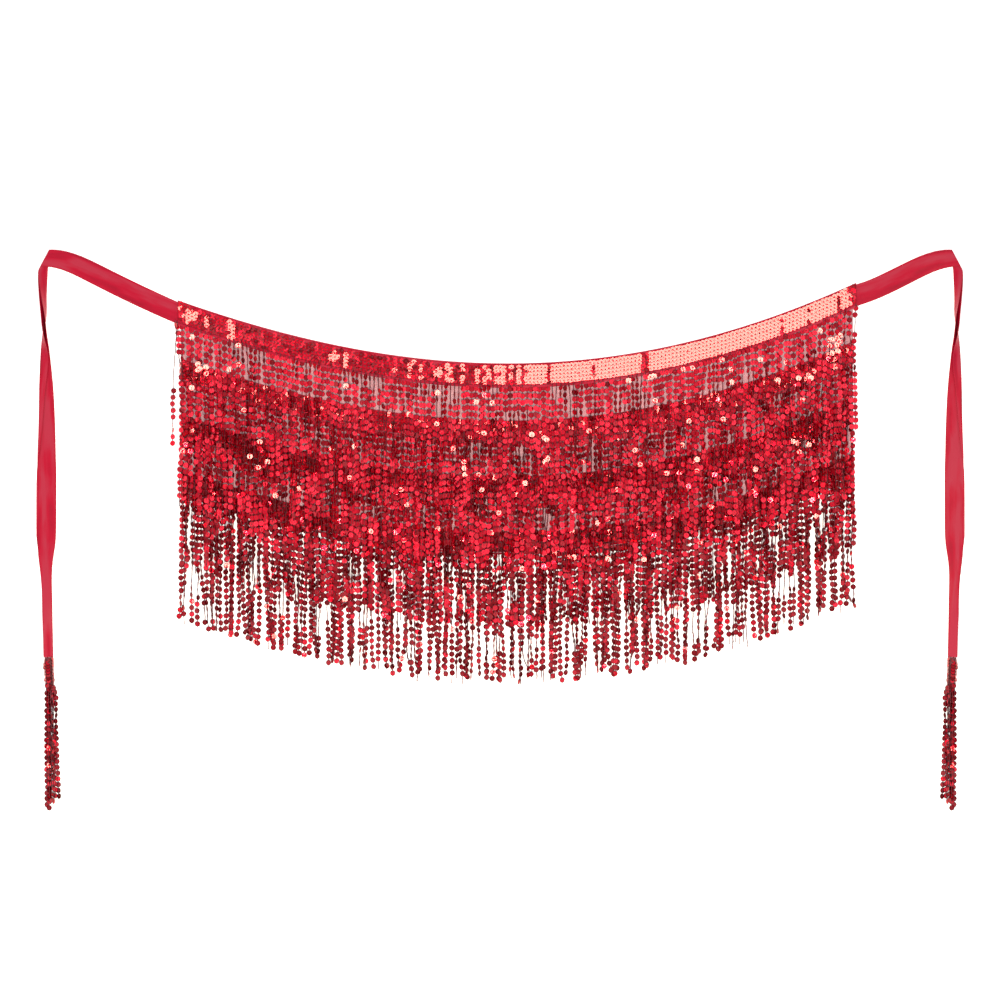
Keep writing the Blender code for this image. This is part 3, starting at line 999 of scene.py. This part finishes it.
tassel = {
    "seed": 63,
    # x, y, wide, high
    "head": (
        (-0.5419, -0.1515, 0.0100, 0.0058),
        (-0.5414, -0.1644, 0.0104, 0.0046),
        (-0.5406, -0.1805, 0.0084, 0.0040),
        (-0.5400, -0.1868, 0.0110, 0.0052),
        (-0.5392, -0.1925, 0.0120, 0.0046),
    ),
    "corners": 12,
    # sequins down the head, one column face up and two on edge: x, height, turn, first y
    "columns": (
        (-0.5431, 0.0052, 4, -0.1545),
        (-0.5372, 0.0042, 72, -0.1530),
        (-0.5468, 0.0036, -64, -0.1560),
    ),
    "columnEnd": -0.1830,
    "columnPitch": 0.0036,
    "columnLean": 0.045,
    "columnLoose": (8, 9, 5),  # spread of the turn, the nod and its spread
    # the bunch at the knot: x, y, height, turn, nod
    "knot": (
        (-0.5436, -0.1852, 0.0056, -28, 10),
        (-0.5396, -0.1868, 0.0060, 6, 14),
        (-0.5358, -0.1880, 0.0052, 34, 4),
        (-0.5412, -0.1904, 0.0058, -12, -8),
        (-0.5376, -0.1912, 0.0056, 22, 10),
    ),
    "pitch": 0.0074,
    "pitchSpread": (0.92, 1.04),
    "first": (0.001, 0.006),
    "endGap": 0.002,
    "shift": 0.0003,
    "mood": (0.60, 0.3, 0.15),
    "nod": 5,
    "lie": (0.0006, 0.8),
    "rootTuck": 0.004,
    "tail": 0.0035,
    "tone": (0.05, 0.22),
    # how strongly each sequin's rim is darkened with painted shade
    "rimShade": 1.5,
    # x at the root, halfway and at the end, y of the end, and how high it lies
    "strands": (
        (-0.5444, -0.5443, -0.5440, -0.3372, 0.0005),
        (-0.5398, -0.5396, -0.5393, -0.3300, 0.0005),
        (-0.5340, -0.5326, -0.5294, -0.3204, 0.0005),
        (-0.5416, -0.5413, -0.5408, -0.3240, 0.0030),
        (-0.5374, -0.5368, -0.5352, -0.3276, 0.0030),
        (-0.5420, -0.5416, -0.5412, -0.3346, 0.0016),
        (-0.5366, -0.5356, -0.5338, -0.3262, 0.0018),
        (-0.5390, -0.5384, -0.5376, -0.3300, 0.0042),
    ),
    "rootY": -0.1880,
    "middleY": -0.2620,
}


def tasselCore(side):
    # a ring drawn out section by section down the rolled trim
    x, y, wide, high = tassel["head"][0]
    bpy.ops.object.select_all(action="DESELECT")
    bpy.ops.mesh.primitive_circle_add(
        vertices=tassel["corners"], radius=0.5, fill_type="NGON",
        location=(side * x, y, high / 2), rotation=(math.pi / 2, 0, 0),
    )
    core = bpy.context.object
    bpy.ops.object.mode_set(mode="EDIT")
    bpy.ops.mesh.select_all(action="SELECT")
    bpy.ops.transform.resize(
        value=(wide, 1, high), center_override=(side * x, y, high / 2)
    )
    for before, after in zip(tassel["head"], tassel["head"][1:]):
        rise = (after[3] - before[3]) / 2
        step = (side * (after[0] - before[0]), after[1] - before[1], rise)
        bpy.ops.mesh.extrude_region_move(TRANSFORM_OT_translate={"value": step})
        bpy.ops.transform.resize(
            value=(after[2] / before[2], 1, after[3] / before[3]),
            center_override=(side * after[0], after[1], after[3] / 2),
        )
    bpy.ops.mesh.select_all(action="SELECT")
    bpy.ops.mesh.normals_make_consistent(inside=False)
    bpy.ops.object.mode_set(mode="OBJECT")
    select(core)
    bpy.ops.object.transform_apply(location=True, rotation=True, scale=True)
    core.data.materials.append(threadFinish)
    return core


def tasselHead(chance):
    # the sequins of the rolled head, and a bunch at the knot: places, ways up, turns, nods
    turnSpread, nodMiddle, nodSpread = tassel["columnLoose"]
    rows = []
    for x, high, turn, first in tassel["columns"]:
        y = np.arange(first, tassel["columnEnd"], -tassel["columnPitch"])
        count = len(y)
        drift = (first - y) * tassel["columnLean"]
        points = np.stack([x + drift, y, np.full(count, high)], axis=1)
        twist = np.radians(turn + turnSpread * chance.normal(0, 1, count))
        nod = np.radians(nodMiddle + nodSpread * chance.normal(0, 1, count))
        rows.append((points, -np.gradient(points, axis=0), twist, nod))
    knot = np.array(tassel["knot"])
    up = np.tile((0.0, 1.0, 0.0), (len(knot), 1))
    rows.append((knot[:, :3], up, np.radians(knot[:, 3]), np.radians(knot[:, 4])))
    return rows


def tasselStrand(chance, root, middle, tip, endY, low):
    rootY, middleY = tassel["rootY"], tassel["middleY"]
    start = rootY - tassel["first"][0] - tassel["first"][1] * chance.uniform()
    pitch = tassel["pitch"] * chance.uniform(*tassel["pitchSpread"])
    y = np.arange(start, endY + tassel["endGap"], -pitch)
    count = len(y)
    x = np.interp(-y, (-rootY, -middleY, -endY), (root, middle, tip))
    x = x + tassel["shift"] * chance.normal(0, 1, count)
    usual, spread, drift = tassel["mood"]
    mood = usual + spread * chance.normal() + drift * np.cumsum(chance.normal(0, 1, count))
    twist = strandTwist(chance, rootY - y, mood)
    lie, tilted = tassel["lie"]
    z = low + lie + sequin["radius"] * np.abs(np.sin(twist)) * tilted
    points = np.stack([x, y, z], axis=1)
    nod = np.radians(tassel["nod"]) * chance.normal(0, 1, count)
    return points, -np.gradient(points, axis=0), twist, nod


def makeTassel(name, side):
    chance = np.random.RandomState(tassel["seed"])
    rows = tasselHead(chance)
    paths = []
    for strand in tassel["strands"]:
        rows.append(tasselStrand(chance, *strand))
        points = rows[-1][0]
        end = points[-1] - (0, tassel["tail"], 0)
        end[2] = strand[-1] + thread["radius"]
        paths.append(np.vstack([points[0] + (0, tassel["rootTuck"], 0), points, end]))
    places, alongs, twists, nods = (np.concatenate(part) for part in zip(*rows))
    flip = np.array((side, 1, 1))
    places, alongs = places * flip, alongs * flip
    tones = np.clip(chance.normal(*tassel["tone"], len(places)), 0, 1)
    turns = turnsFrom(alongs, twists * side, nods)
    beads = sequinsAt("beads", places, turns, tones, tassel["rimShade"])
    cords = threadsAlong("cords", [path * flip for path in paths], thread["radius"])
    piece = joinInto("tassel" + name, beads, cords, tasselCore(side))
    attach(piece, "root")
    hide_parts("tassel_" + name.lower())


# floor, light and camera

def makeFloor():
    bpy.ops.object.select_all(action="DESELECT")
    bpy.ops.mesh.primitive_grid_add(
        x_subdivisions=2, y_subdivisions=2, size=studio["floorWide"]
    )
    floor = bpy.context.object
    floor.name = "floor"
    material, *_, shader = startMaterial("paleFloor")
    shader.inputs["Base Color"].default_value = (*studio["floor"], 1)
    shader.inputs["Emission Color"].default_value = (1, 1, 1, 1)
    shader.inputs["Emission Strength"].default_value = studio["glow"]
    shader.inputs["Roughness"].default_value = studio["floorRough"]
    shader.inputs["Specular IOR Level"].default_value = studio["floorGloss"]
    floor.data.materials.append(material)


def softBox(name, place, size, watts, target):
    lamp = bpy.data.lights.new(name, "AREA")
    lamp.shape = "RECTANGLE"
    lamp.size, lamp.size_y = size
    lamp.energy = watts
    lamp.color = studio["warm"] if size[0] < studio["warmWide"] else (1, 1, 1)
    box = bpy.data.objects.new(name, lamp)
    bpy.context.scene.collection.objects.link(box)
    box.location = place
    toTarget = Vector(target) - Vector(place)
    box.rotation_euler = toTarget.to_track_quat("-Z", "Y").to_euler()
    box.visible_camera = False


def makeStudio():
    makeFloor()
    world = bpy.data.worlds.new("studioSky")
    bpy.context.scene.world = world
    world.use_nodes = True
    sky = world.node_tree.nodes["Background"]
    sky.inputs["Color"].default_value = (1, 1, 1, 1)
    sky.inputs["Strength"].default_value = studio["sky"]
    for name, settings in studio["boxes"].items():
        softBox(name, *settings)
    bpy.context.scene.view_settings.view_transform = "Standard"
    lens = bpy.data.cameras.new("photoCamera")
    lens.sensor_width = studio["sensor"]
    lens.lens = studio["sensor"] * studio["cameraHigh"] / studio["frameWide"]
    lens.clip_end = studio["farthest"]
    camera = bpy.data.objects.new("photoCamera", lens)
    bpy.context.scene.collection.objects.link(camera)
    camera.location = (*studio["centre"], studio["cameraHigh"])
    bpy.context.scene.camera = camera
    print("floor, light and camera placed")


makeStudio()
makeNet()
makeWaistRibbon()
print("net and waist ribbon made")
for tierNumber in range(belt["tiers"]):
    makeHeading(tierNumber)
print("headings made")
for tierNumber in range(belt["tiers"]):
    makeFringe(tierNumber)
makeTie("Left", 1, tie["leftSeam"])
makeTie("Right", -1, tie["rightSeam"])
print("ties made")
makeTassel("Left", 1)
makeTassel("Right", -1)
print("tassels made")
